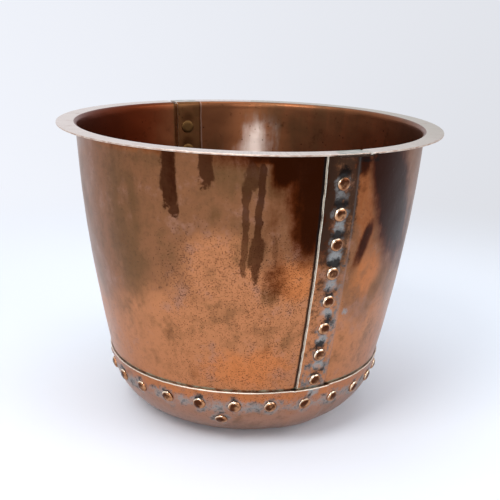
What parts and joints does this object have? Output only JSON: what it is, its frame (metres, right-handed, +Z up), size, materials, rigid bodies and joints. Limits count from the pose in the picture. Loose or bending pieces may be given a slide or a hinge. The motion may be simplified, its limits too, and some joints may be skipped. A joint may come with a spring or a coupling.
{
  "type": "copper cauldron",
  "caption": "Round riveted copper cauldron with tapered walls, a turned-out flat rim, lapped seams and a dished pan riveted round the foot.",
  "frame": {"origin": "on the floor under the middle of the pot", "axes": "+Z up along the pot's axis, -Y towards the front, with the front seam to the right of it"},
  "size_m": [0.52, 0.52, 0.4],
  "materials": {
    "wall_copper": "hand-planished copper with brown patina, worn and streaked",
    "pan_copper": "pinkish brown copper with dull verdigris round the rivets",
    "rivet_copper": "hammered copper, bright on the crowns"
  },
  "bodies": {
    "root": {"right_wall_sheet": "wall_copper", "left_wall_sheet": "wall_copper", "base_pan": "pan_copper", "front_seam_rivets": "rivet_copper", "back_seam_rivets": "rivet_copper", "base_ring_rivets": "rivet_copper", "lower_pan_rivet": "rivet_copper"}
  },
  "joints": []
}
